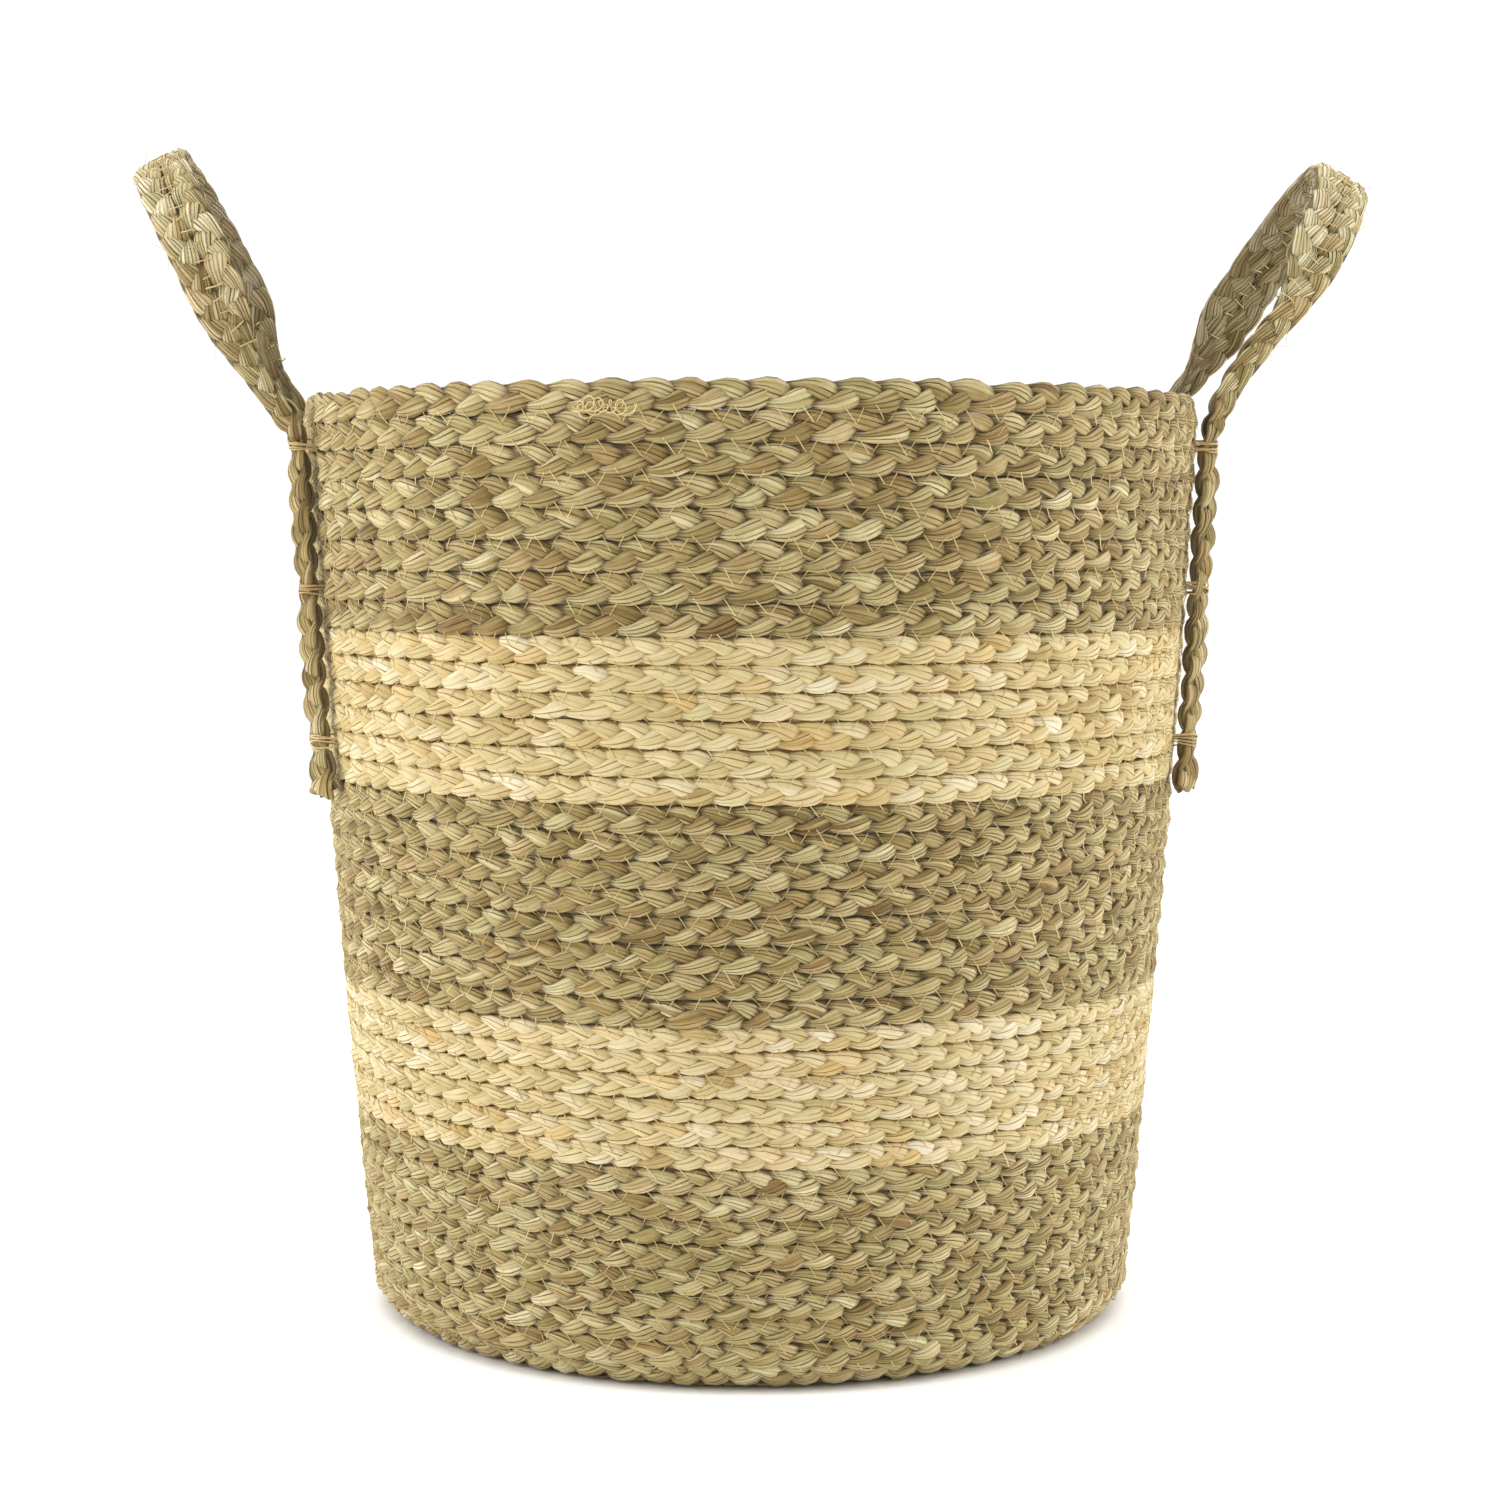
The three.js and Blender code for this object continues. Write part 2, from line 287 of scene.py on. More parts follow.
braidForms = {
    "seagrass": {
        "swing": 0.32,  # how far a strand's middle swings, as a share of the braid's width
        "strandHalf": 0.335,  # half width of a strand, as a share of the braid's width
        "narrow": 0.52,  # a strand is this much narrower where it comes round the braid's edge
        "lead": 0.75,  # how early a strand comes up round the edge
        "dive": 0.44,  # how far a strand rises and sinks, as a share of half the thickness
        "strandThick": 0.44,  # half thickness of a strand, as a share of half the braid's
        "hold": 1.5,  # how long a strand stays on top before it dives
        "square": 0.65,  # below 1 a strand's section is flatter than an oval
        "tilt": 0.14,  # the lower edge of a row stands out over the row below
        "edge": 0.59,  # strands are pressed flat at this share of the braid's width from its middle
        "lobes": 0.18,  # ridges of the blades in a strand
        "uneven": 0.17,  # how far strands differ in width and thickness
    },
    "husk": {"swing": 0.31, "strandHalf": 0.34, "narrow": 0.48, "lead": 0.8, "dive": 0.44,
             "strandThick": 0.48, "hold": 1.7, "square": 0.7, "tilt": 0.06, "edge": 0.545,
             "lobes": 0.08, "uneven": 0.16},
    "handle": {"swing": 0.26, "strandHalf": 0.36, "narrow": 0.35, "lead": 0.5, "dive": 0.42,
               "strandThick": 0.58, "hold": 1.3, "square": 0.8, "tilt": 0.0, "edge": 0.53,
               "lobes": 0.22, "uneven": 0.18},
}


def weave(centre, across, outward, turn, width, thick, rng, closed, form, knots=60):
    # strand k at angle a = turn + k/3 of a full turn: sideways -cos a,
    # outwards tanh(hold (sin 2a + lead cos^2 a)), and each measure drifts a little along the braid
    count = len(turn)
    angle = turn[None] + (2 * np.pi / 3 * np.arange(3))[:, None]
    varied = np.array([[drift(count, knots, rng, closed) for _ in range(3)] for _ in range(4)])
    side = -form["swing"] * width * np.cos(angle) * (1 + 0.08 * varied[0]) + 0.025 * width * varied[3]
    swell = np.tanh(form["hold"] * (np.sin(2 * angle) + form["lead"] * np.cos(angle) ** 2))
    swell = swell / math.tanh(form["hold"])
    rise = form["dive"] * thick / 2 * swell - form["tilt"] * side
    narrow = 1 - form["narrow"] * np.cos(angle + 0.26) ** 4
    halfWide = form["strandHalf"] * width * narrow * (1 + form["uneven"] * varied[1])
    halfThick = form["strandThick"] * thick / 2 * (1 + form["uneven"] * varied[2])
    middle = centre[None] + across[None] * side[..., None] + outward[None] * rise[..., None]
    return {"angle": angle, "side": side, "rise": rise, "halfWide": halfWide, "halfThick": halfThick,
            "middle": middle, "across": across, "outward": outward, "varied": varied, "form": form}


def strandPart(woven, along, thick, width, rng, closed, sides, mood, paintedTone=0.0, shaded=0.0):
    # each strand is an oval section, flattened and ridged, carried along its own line
    middle, angle, form = woven["middle"], woven["angle"], woven["form"]
    if closed:
        ahead = unit(np.roll(middle, -1, 1) - np.roll(middle, 1, 1))
    else:
        ahead = unit(np.gradient(middle, axis=1))
    wide = np.broadcast_to(woven["across"][None], middle.shape)
    wide = unit(wide - ahead * (wide * ahead).sum(-1, keepdims=True))
    out = np.cross(ahead, wide)
    spin = np.arange(sides) * 2 * np.pi / sides
    spin = spin + 0.18 * np.sin(2 * spin)  # more points on the flat faces than at the edges
    x, y = np.cos(spin), np.sin(spin)
    slide = woven["varied"][3][..., None] * 3 + np.arange(3)[:, None, None] * 2.1
    y = np.sign(y) * np.abs(y) ** form["square"]
    ridge = 1 + form["lobes"] * np.cos(2.7 * np.pi * x + slide)
    offX = woven["halfWide"][..., None] * x
    offY = woven["halfThick"][..., None] * y * ridge
    points = middle[:, :, None] + wide[:, :, None] * offX[..., None] + out[:, :, None] * offY[..., None]
    # neighbours press a strand flat: past 0.8 of the limit its side reach bends over towards the limit
    limit = form["edge"] * width
    reach = (woven["side"][..., None] + offX) / limit
    over = np.sign(reach) * (0.8 + 0.2 * np.tanh((np.abs(reach) - 0.8) / 0.2))
    pressed = np.where(np.abs(reach) > 0.8, over, reach)
    points = points + woven["across"][None, :, None] * ((pressed - reach) * limit)[..., None]

    # a leaf is what shows of a strand on one face between two dives, and each has its own tone
    turns = int(round((angle[0, -1] - angle[0, 0]) / np.pi + 1)) if closed else 10 ** 6
    outer = np.floor((angle + 0.6) / np.pi).astype(int)
    inner = np.floor((angle + 0.6 - np.pi / 2) / np.pi).astype(int)
    if closed:
        outer, inner = outer % turns, inner % turns
    low = min(outer.min(), inner.min())
    leaves = max(outer.max(), inner.max()) - low + 1
    leafTone = rng.normal(0, 1, (3, 2, leaves, mood["blades"] + 1))
    leafHue = rng.normal(0, 1, (3, 2, leaves))
    strand = np.arange(3)[:, None, None]
    face = (y < -0.01).astype(int)[None, None]
    leaf = np.where(face == 0, outer[..., None], inner[..., None]) - low
    blade = np.clip(((x + 1) * mood["blades"] / 2).astype(int), 0, mood["blades"] - 1)[None, None]
    slow = np.array([drift(len(along), max(6, int(len(along) / 45)), rng, closed) for _ in range(6)])
    # paintedTone is painted light and shade: on the wall the lowest rows are lightened, on a strap the top is
    # lightened and the legs darkened
    tone = (mood["tone"] + paintedTone + mood["leaf"] * leafTone[strand, face, leaf, mood["blades"]]
            + mood["blade"] * leafTone[strand, face, leaf, blade] + mood["slow"] * slow[:3, :, None])
    hue = 0.5 + mood["hue"] * (np.clip(leafHue[strand, face, leaf], -2, 2) * 0.75 + slow[3:, :, None] * 0.6)
    # painted shade: nook is 1 deep between the strands and 0 on their crests, plus a painted shade line at
    # the pressed edges where rows meet, plus the shaded share on faces turned inward
    rise = woven["rise"][..., None] + offY
    crest = np.abs(rise) / (thick / 2)
    nook = 1 - smooth(crest, mood["nookLow"], mood["nookHigh"])
    nook = nook + mood["edge"] * smooth(np.abs(pressed), *mood["edgeFrom"])
    nook = np.clip(nook + shaded * smooth(rise / thick, 0.0, 0.3), 0, 1)
    count = (x + 1) / 2 * mood["blades"] + woven["varied"][1][..., None] * 0.3
    around = 2.6 * woven["halfWide"].mean() * 2  # a flat oval's outline is about 2.6 times its width
    return tubePart(points, along, around, tone, hue, nook, closed, count)


coreForm = {
    "wide": 0.53,  # half width, as a share of the braid's width
    "half": 0.35 * mm,
    "sides": 6,
    # how far the core is darkened towards the nook colour, as painted shade
    "dark": {"seagrass": 0.6, "husk": 0.4, "handle": 0.7},
    "wallOut": 0.7 * mm,  # in the wall it lies a little outside the braid's middle
    "strapIn": 0.2 * mm,  # and in a strap a little inside it, and narrower
    "strapWide": 0.85,
}


def corePart(woven, centre, along, width, closed, dark, behind):
    # painted shade: a thin dark oval near the braid's middle plane, which closes see-through gaps and stands
    # for the shade deep inside the braid
    every = slice(None, None, 2)
    middle = centre[every] - woven["outward"][every] * behind
    across, outward = woven["across"][every], woven["outward"][every]
    wide = np.broadcast_to(width, along.shape)[every, None] * coreForm["wide"]
    spin = np.arange(coreForm["sides"]) * 2 * np.pi / coreForm["sides"]
    offX, offY = wide * np.cos(spin), coreForm["half"] * np.sin(spin)
    points = middle[:, None] + across[:, None] * offX[..., None] + outward[:, None] * offY[:, None]
    shape = (1, *points.shape[:2])
    plain = lambda value: np.full(shape, value)
    return tubePart(points[None], along[every], 2 * wide.max(), plain(0.4), plain(0.5), plain(dark), closed)


# ---- Wall: 37 closed rows of braid between 38 seam lines

wall = {
    "rows": {"bottom_seagrass_coil": 9, "lower_husk_coil": 6, "middle_seagrass_coil": 8,
             "upper_husk_coil": 6, "top_seagrass_coil": 8},
    "thick": 7.2 * mm,
    "leafPitch": 1.33,  # one leaf to the next, as a share of the row's height
    "step": 2.75 * mm,
    "sides": 14,
    "wobble": 0.45 * mm,
    "footRadius": 142.5 * mm,
    "footHeight": 0.9 * mm,
    "rimInset": 1.5 * mm,
    "freeEdge": 0.66,  # the pressed edge of the first and last rows, which have one neighbour
    "freeCore": 0.72,
    "paintedFloorLight": 0.08,  # painted light: the lowest rows are lightened as if lit from the white floor below
    "paintedFloorLightRows": 15,
    "seed": 7,
}
moods = {
    "seagrass": {"tone": 0.475, "blades": 4, "leaf": 0.08, "blade": 0.12, "slow": 0.06, "hue": 0.16,
                 "nookLow": 0.14, "nookHigh": 0.72, "edge": 0.5, "edgeFrom": (0.82, 1.0)},
    "husk": {"tone": 0.52, "blades": 3, "leaf": 0.11, "blade": 0.05, "slow": 0.07, "hue": 0.19,
             "nookLow": 0.0, "nookHigh": 0.45, "edge": 0.35, "edgeFrom": (0.92, 1.0)},
    "handle": {"tone": 0.55, "blades": 6, "leaf": 0.09, "blade": 0.15, "slow": 0.07, "hue": 0.18,
               "nookLow": 0.0, "nookHigh": 0.45, "edge": 0.0, "edgeFrom": (0.9, 1.0)},
}
bandTops = [(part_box(name)[1].z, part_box(name)[1].x) for name in wall["rows"]]
wallCurve = np.polyfit(*zip(*bandTops), 2)  # the wall's outer radius as a square curve of the height
seamHeights = [0.0]
for bandName, bandRows in wall["rows"].items():
    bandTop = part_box(bandName)[1].z
    seamHeights += list(np.linspace(seamHeights[-1], bandTop, bandRows + 1)[1:])
rowKinds = ["husk" if "husk" in bandName else "seagrass"
            for bandName, bandRows in wall["rows"].items() for _ in range(bandRows)]
lastSeam = len(seamHeights) - 1
waves = np.random.default_rng(wall["seed"]).uniform(0, 2 * np.pi, (len(seamHeights), 2, 4))


def ringPoint(radius, height, share):
    # a point at that share of a full turn, counted from the back and anticlockwise from above
    bearing = np.pi / 2 + 2 * np.pi * share
    return np.stack([radius * np.cos(bearing), radius * np.sin(bearing), height + 0 * share], -1)


def seamLine(seam, share):
    # the outer edge between two rows, with a slow hand-made wobble: a sum of four cosines
    height = seamHeights[seam]
    radius = np.polyval(wallCurve, height)
    wobble = wall["wobble"] * (0.3 if seam in (0, lastSeam) else 1)
    orders = np.array([2, 3, 5, 9])
    sway = np.cos(2 * np.pi * orders * share[..., None] + waves[seam, :, None]).mean(-1)
    if seam == 0:
        radius, height = wall["footRadius"], wall["footHeight"]
    if seam == lastSeam:
        radius -= wall["rimInset"]
    return ringPoint(radius + wobble * sway[0], height + wobble * sway[1], share)


def seamLength(seam):
    # once round the wall: a full turn times the wall's radius at that seam
    return 2 * np.pi * np.polyval(wallCurve, seamHeights[seam])


def rowFrame(row, share):
    # the middle line of a row, the direction up across it, and the direction out of the wall
    low, high = seamLine(row, share), seamLine(row + 1, share)
    up = unit(high - low)
    bearing = np.pi / 2 + 2 * np.pi * share
    ahead = np.stack([-np.sin(bearing), np.cos(bearing), 0 * share], -1)
    out = unit(np.cross(ahead, up))
    width = np.linalg.norm(high - low, axis=-1).mean()
    return (low + high) / 2 - out * wall["thick"] / 2, up, out, width


def wallRow(row, rng):
    # one closed braid whose centre line is the row's middle, with a whole number of weave turns
    kind, thick = rowKinds[row], wall["thick"]
    height = seamHeights[row + 1] - seamHeights[row]
    around = seamLength(row)
    count = int(around / wall["step"])
    share = np.arange(count) / count
    centre, up, out, width = rowFrame(row, share)
    turns = int(round(around / (3 * wall["leafPitch"] * height)))
    turn = 2 * np.pi * turns * share + 0.45 * drift(count, turns * 2, rng, True) + rng.uniform(0, 2 * np.pi)
    form, filled = braidForms[kind], width
    if row in (0, lastSeam - 1):  # nothing presses on the free edges of the first and last rows
        form, filled = dict(form, edge=wall["freeEdge"]), width * wall["freeCore"]
    woven = weave(centre, up, out, turn, width, thick, rng, True, form, turns * 3)
    along = share * around
    # painted light: a lighter tone on the lowest rows
    paintedTone = wall["paintedFloorLight"] if row < wall["paintedFloorLightRows"] else 0.0
    part = strandPart(woven, along, thick, width, rng, True, wall["sides"], moods[kind], paintedTone)
    core = corePart(woven, centre, along, filled, True, coreForm["dark"][kind], -coreForm["wallOut"])
    return [part, core], woven


wallRng = np.random.default_rng(wall["seed"])
rowWoven = []
for bandName, bandRows in wall["rows"].items():
    parts = []
    for _ in range(bandRows):
        rowParts, woven = wallRow(len(rowWoven), wallRng)
        parts.append(rowParts)
        rowWoven.append(woven)
    half = (bandRows + 1) // 2
    leaf, slot = (cornhusk, "cornhusk") if "husk" in bandName else (seagrass, "seagrass")
    for label, group in (("low", parts[:half]), ("high", parts[half:])):
        piece = addPiece(bandName.replace("_coil", "_rows_" + label), sum(group, []), leaf)
        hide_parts(bandName)
        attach(piece, "basket")
print("wall woven")


# ---- Base: one braid wound flat from the middle outwards

baseForm = {"firstRadius": 7 * mm, "turnApart": 9 * mm, "step": 3 * mm, "sides": 10, "thick": 6.8 * mm,
            "intoWall": 1.5 * mm, "seed": 11}


def baseSpiral():
    # radius grows by one braid's width in each full turn; the last turn thins away inside the wall's foot
    outer = wall["footRadius"] + 3.5 * mm - wall["thick"] + baseForm["intoWall"]
    apart = baseForm["turnApart"]
    turnsWound = (outer - baseForm["firstRadius"] - apart / 2) / apart
    rng = np.random.default_rng(baseForm["seed"])
    bearing = np.linspace(0, 2 * np.pi * (turnsWound + 0.85), 40000)
    spare = np.clip(bearing / (2 * np.pi) - turnsWound, 0, 1)
    radius = baseForm["firstRadius"] + apart * bearing / (2 * np.pi)
    radius = np.minimum(radius, outer - apart / 2 * (1 - spare))
    along = np.concatenate([[0], np.cumsum(np.hypot(np.diff(radius), radius[1:] * np.diff(bearing)))])
    count = int(along[-1] / baseForm["step"])
    even = np.linspace(0, along[-1], count)
    pick = lambda values: np.interp(even, along, values)
    bearing, radius, spare = pick(bearing), pick(radius), pick(spare)
    outwards = np.stack([np.cos(bearing), np.sin(bearing), 0 * bearing], -1)
    centre = outwards * radius[:, None]
    centre[:, 2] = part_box("base_coil")[1].z / 2
    down = np.tile([0.0, 0.0, -1.0], (count, 1))
    turn = 2 * np.pi * even / (3 * wall["leafPitch"] * apart) + 0.4 * drift(count, 300, rng)
    width = apart * (smooth(even, 0, 15 * mm) * 0.45 + 0.55) * (1 - spare)
    flat = dict(braidForms["seagrass"], tilt=0.0, edge=0.56)
    woven = weave(centre, outwards, down, turn, width, baseForm["thick"], rng, False, flat, 400)
    strands = strandPart(woven, even, baseForm["thick"], width[None, :, None], rng, False, baseForm["sides"],
                         moods["seagrass"])
    return [strands, corePart(woven, centre, even, width, False, coreForm["dark"]["seagrass"], 0.0)]


basePiece = addPiece("base_spiral", baseSpiral(), seagrass)
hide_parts("base_coil")
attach(basePiece, "basket")


# ---- Sewing thread: a zigzag stitch over every seam, outside and inside

stitch = {
    "pitch": 11.2 * mm,  # one zigzag to the next
    "long": (0.0, 2.7, 4.9, -6.9),  # start along, start up, run, rise of the long stroke, in mm
    "short": (5.2, -4.1, 3.8, 6.1),
    "half": 0.23 * mm,
    "bury": 1.2 * mm,  # an end sinks this far into the braid
    "onHusk": 0.85,  # a stroke's length on husk, and at the foot, as a share of one on seagrass
    "atFoot": 0.5,
    "secondFrom": 19,  # the seam where the outside thread's second piece starts
    "seed": 23,
}


def braidHeight(woven, share, side, face):
    # the highest strand at that place across the braid, each an oval: rise + half thickness sqrt(1 - r^2);
    # face is 1 outside and -1 inside
    count = woven["side"].shape[1]
    place = (share % 1) * count
    low = np.floor(place).astype(int) % count
    part = place - np.floor(place)
    sample = lambda key: woven[key][:, low] * (1 - part) + woven[key][:, (low + 1) % count] * part
    reach = (side[None] - sample("side")) / sample("halfWide")
    bulge = np.sqrt(np.clip(1 - reach ** 2, 0, 1))
    top = face * sample("rise") + sample("halfThick") * bulge
    return np.where(np.abs(reach) < 1, top, -1 * mm).max(0)


def stitchPoints(seam, starts, stroke, face, rng, samples):
    # a stroke is a straight line on the wall's skin, lifted to lie on the strands under it
    t = smooth(np.linspace(0, 1, samples), -0.12, 1.12)
    t = (t - t[0]) / (t[-1] - t[0])
    run = stroke[2] * mm * rng.uniform(0.8, 1.2, (len(starts), 1))
    rise = stroke[3] * mm * rng.uniform(0.8, 1.15, (len(starts), 1))
    first = stroke[1] * mm + rng.normal(0, 0.25 * mm, (len(starts), 1))
    share = starts[:, None] + (stroke[0] * mm + run * t) / seamLength(seam)
    up = first + rise * t
    below, above = rowWoven[seam - 1], rowWoven[seam]
    lowRow = (seamHeights[seam] - seamHeights[seam - 1]) / 2
    highRow = (seamHeights[seam + 1] - seamHeights[seam]) / 2
    height = np.maximum(braidHeight(below, share.ravel(), (up + lowRow).ravel(), face),
                        braidHeight(above, share.ravel(), (up - highRow).ravel(), face)).reshape(up.shape)
    height[:, 1:-1] = np.maximum(height[:, 1:-1], (height[:, :-2] + height[:, 2:]) / 2)
    height = height + stitch["half"] * 0.7
    height[:, 0] -= stitch["bury"]
    height[:, -1] -= stitch["bury"]
    _, upward, out, _ = rowFrame(seam, share.ravel())
    skin = seamLine(seam, share.ravel()) - out * wall["thick"] / 2
    points = skin + upward * up.reshape(-1, 1) + out * face * height.reshape(-1, 1)
    return points.reshape(*up.shape, 3), (out * face).reshape(*up.shape, 3)


def threadPart(lines, facing, half, rng, sides=4):
    # a thin section of a few flat sides carried along each line, one tone to a thread
    ahead = unit(np.gradient(lines, axis=1))
    aside = unit(np.cross(ahead, facing))
    out = np.cross(aside, ahead)
    spin = np.arange(sides) * 2 * np.pi / sides
    ring = aside[:, :, None] * np.cos(spin)[:, None] - out[:, :, None] * np.sin(spin)[:, None]
    points = lines[:, :, None] + ring * half
    shape = points.shape[:3]
    tone = np.broadcast_to(rng.normal(0.62, 0.14, (shape[0], 1, 1)), shape)
    hue = np.broadcast_to(rng.normal(0.5, 0.2, (shape[0], 1, 1)), shape)
    along = np.linspace(0, 1, shape[1]) * 7 * mm
    return tubePart(points, along, 2 * np.pi * half, tone, hue, np.zeros(shape), False)


def sewSeams(face, seams, samples, sides):
    # each seam has its stitches at even places with a little play, and a few are missing
    rng = np.random.default_rng(stitch["seed"] + seams[0] + (face < 0) * 500)
    parts = []
    for seam in seams:
        count = int(seamLength(seam) / stitch["pitch"])
        starts = (np.arange(count) + rng.uniform(-0.13, 0.13, count)) / count + rng.uniform()
        onHusk = rowKinds[seam - 1] == "husk"
        shorter = stitch["onHusk"] if onHusk else stitch["atFoot"] if seam == 1 else 1
        for name, keep, slimmer in (("long", 0.97, 1), ("short", 0.9, 0.85)):
            stroke = (stitch[name][0], *[value * shorter for value in stitch[name][1:]])
            chosen = starts[rng.uniform(size=count) < keep]
            lines, facing = stitchPoints(seam, chosen, stroke, face, rng, samples)
            parts.append(threadPart(lines, facing, stitch["half"] * slimmer, rng, sides))
    return parts


secondFrom = stitch["secondFrom"]
for label, face, first, past, samples in (
        ("outside_low", 1, 1, secondFrom, 6), ("outside_high", 1, secondFrom, lastSeam, 6),
        ("inside", -1, 1, lastSeam, 4)):
    seams = list(range(first, past))
    piece = addPiece("zigzag_thread_" + label, sewSeams(face, seams, samples, 3), sewingThread)
    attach(piece, "basket")
print("seams sewn")


# ---- Handles: an outer braid that runs from tail to tail and an inner one sewn beside it

strap = {
    "legSpacing": 100 * mm,
    "standoff": 5.4 * mm,  # wall's outside to the middle of a leg
    "braidWide": 12 * mm,
    "legWide": 9.8 * mm,
    "legThick": 6.4 * mm,
    "legTurn": 35,  # degrees that a leg's flat face turns forwards from the wall
    "tailFlare": 0.4,  # the cut tails spread by this share
    "gripThick": 8.4 * mm,
    "rootWide": 9.4 * mm,  # where the strap passes the rim it draws together
    "tailHeight": 205 * mm,
    "bendHeight": 341 * mm,
    "hingeX": 181 * mm,
    "hingeZ": 354.5 * mm,
    "archBase": 48 * mm,
    "archRise": 52 * mm,
    # above the hinge, at the strap's first and last end: where its two braids meet, and the inner one's tip
    "pairHeight": {"right": (64 * mm, 40 * mm), "left": (42 * mm, 42 * mm)},
    "tipHeight": {"right": (27 * mm, 5 * mm), "left": (4 * mm, 4 * mm)},
    "tipWide": 3.2 * mm,
    "leafTurn": 33 * mm,
    "step": 1.5 * mm,
    "sides": 18,
    "lean": {"right": 30.5, "left": 27.5},
    "sewnIn": 1.1 * mm,  # the stitches press a strap's two braids this far into each other
    "rootOut": {"right": -2.5 * mm, "left": 2 * mm},  # how far a strap's root leans out past the hinge
    "bulge": {"right": 0.2 * mm, "left": 0.4 * mm},  # a leg stands further off the wall between two ties
    "pinch": 0.28,  # a tie draws a leg together by this share
    "blend": (-9 * mm, 16 * mm),  # two places measured from the hinge; the strap's points there are worked out, but nothing uses them
    "paintedTopLight": 0.2,  # painted light: the loop's top is lightened as if lit from above
    "paintedTopLightFrom": (0.37, 0.43),
    "paintedLegShade": 0.12,  # painted shade: the legs are darkened as if in shadow
    "paintedLegShadeBelow": (0.36, 0.33),
    "shaded": (0.55, 0.3),  # painted shade: the face that looks into the loop is darkened as if in shadow, and a leg's back, turned to the wall, more, as a painted contact shadow
    "seed": 61,
}
tieNames = ("top", "middle", "bottom")
tieHeights = [(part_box(f"right_front_{name}_tie")[0].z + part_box(f"right_front_{name}_tie")[1].z) / 2
              for name in tieNames]


def tieGap(height):
    # the distance to the nearest tie
    return np.abs(np.asarray(height)[..., None] - np.array(tieHeights)).min(-1)


def tieGrip(height):
    # 1 at a tie, falling away as exp(-(d / 5 mm)^2) with the distance d to the nearest one
    return np.exp(-(tieGap(height) / (5 * mm)) ** 2)


def wallReach(height, bulge):
    # how far out in X a leg's middle is: on a circle just outside the wall, and bulging between two ties
    free = smooth(tieGap(height), 3 * mm, 16 * mm)
    bulge = bulge * free * smooth(strap["bendHeight"] - height, 0, 20 * mm)
    reach = np.polyval(wallCurve, height) + strap["standoff"] + bulge
    return np.sqrt(reach ** 2 - (strap["legSpacing"] / 2) ** 2)


def loopPlace(lean, x, y, z):
    # a point of the leaning loop's own frame, which starts at the hinge: x cos a + z sin a outwards
    # and z cos a - x sin a upwards
    a = math.radians(lean)
    return np.stack([strap["hingeX"] + x * math.cos(a) + z * math.sin(a), y + 0 * x,
                     strap["hingeZ"] - x * math.sin(a) + z * math.cos(a)], -1)


def evenly(points, others, step):
    # the same line with its points a fixed distance apart, and its other values at those points
    along = np.concatenate([[0], np.cumsum(np.linalg.norm(np.diff(points, axis=0), axis=1))])
    even = np.linspace(0, along[-1], int(along[-1] / step) + 1)
    pick = lambda values: np.stack([np.interp(even, along, column) for column in values.T], -1)
    return even, pick(points), pick(others)


def softened(values, reach):
    # a running mean, which rounds the corners where straight and bent stretches meet
    padded = np.pad(values, ((reach, reach), (0, 0)), mode="edge")
    padded[:reach] = 2 * values[0] - values[reach:0:-1]
    padded[-reach:] = 2 * values[-1] - values[-2:-reach - 2:-1]
    kernel = np.ones(2 * reach + 1) / (2 * reach + 1)
    return np.stack([np.convolve(column, kernel, "valid") for column in padded.T], -1)


def loopLine(lows, shift, count=240):
    # up one side, round a half ellipse and down the other, with the way the strap's face looks
    half = strap["legSpacing"] / 2
    up, down = (np.linspace(low, strap["archBase"], 60)[:-1] for low in lows)
    swing = np.linspace(0, np.pi, count)
    y = np.concatenate([-half + 0 * up, -half * np.cos(swing), half + 0 * up])
    z = np.concatenate([up, strap["archBase"] + strap["archRise"] * np.sin(swing), down[::-1]])
    faceY = np.concatenate([-1 + 0 * up, -np.cos(swing) / half, 1 + 0 * up])
    faceZ = np.concatenate([0 * up, np.sin(swing) / strap["archRise"], 0 * up])
    face = unit(np.stack([0 * y, faceY, faceZ], -1))
    return shift(z, y), y, z, face


def atEnd(name, side, y):
    # the handle's value at the end of the strap that y is nearer to
    first, last = strap[name][side]
    return np.where(y < 0, first, last)


def pairShift(side, height, y):
    # how far the outer braid lies outside the strap's middle: half a braid where the two lie together
    root = strap["rootOut"][side] * (1 - smooth(height, 15 * mm, 65 * mm))
    joined = smooth(height, 0, atEnd("pairHeight", side, y))
    return root + (strap["braidWide"] - strap["sewnIn"]) / 2 * joined


def outerWidth(side, height, y):
    # from the root's width to the full width where the two braids meet
    root, share = strap["rootWide"], smooth(height, 0, atEnd("pairHeight", side, y))
    return root + (strap["braidWide"] - root) * share


def innerWidth(side, height, y):
    # from the tip's width to the full width where the two braids meet
    share = smooth(height, atEnd("tipHeight", side, y), atEnd("pairHeight", side, y))
    return strap["tipWide"] + (strap["braidWide"] - strap["tipWide"]) * share


def turnFace(lean, face):
    # a direction of the loop's own frame, turned about Y by the lean as loopPlace turns a point
    a = math.radians(lean)
    return np.stack([face[:, 0] * math.cos(a) + face[:, 2] * math.sin(a), face[:, 1],
                     -face[:, 0] * math.sin(a) + face[:, 2] * math.cos(a)], -1)


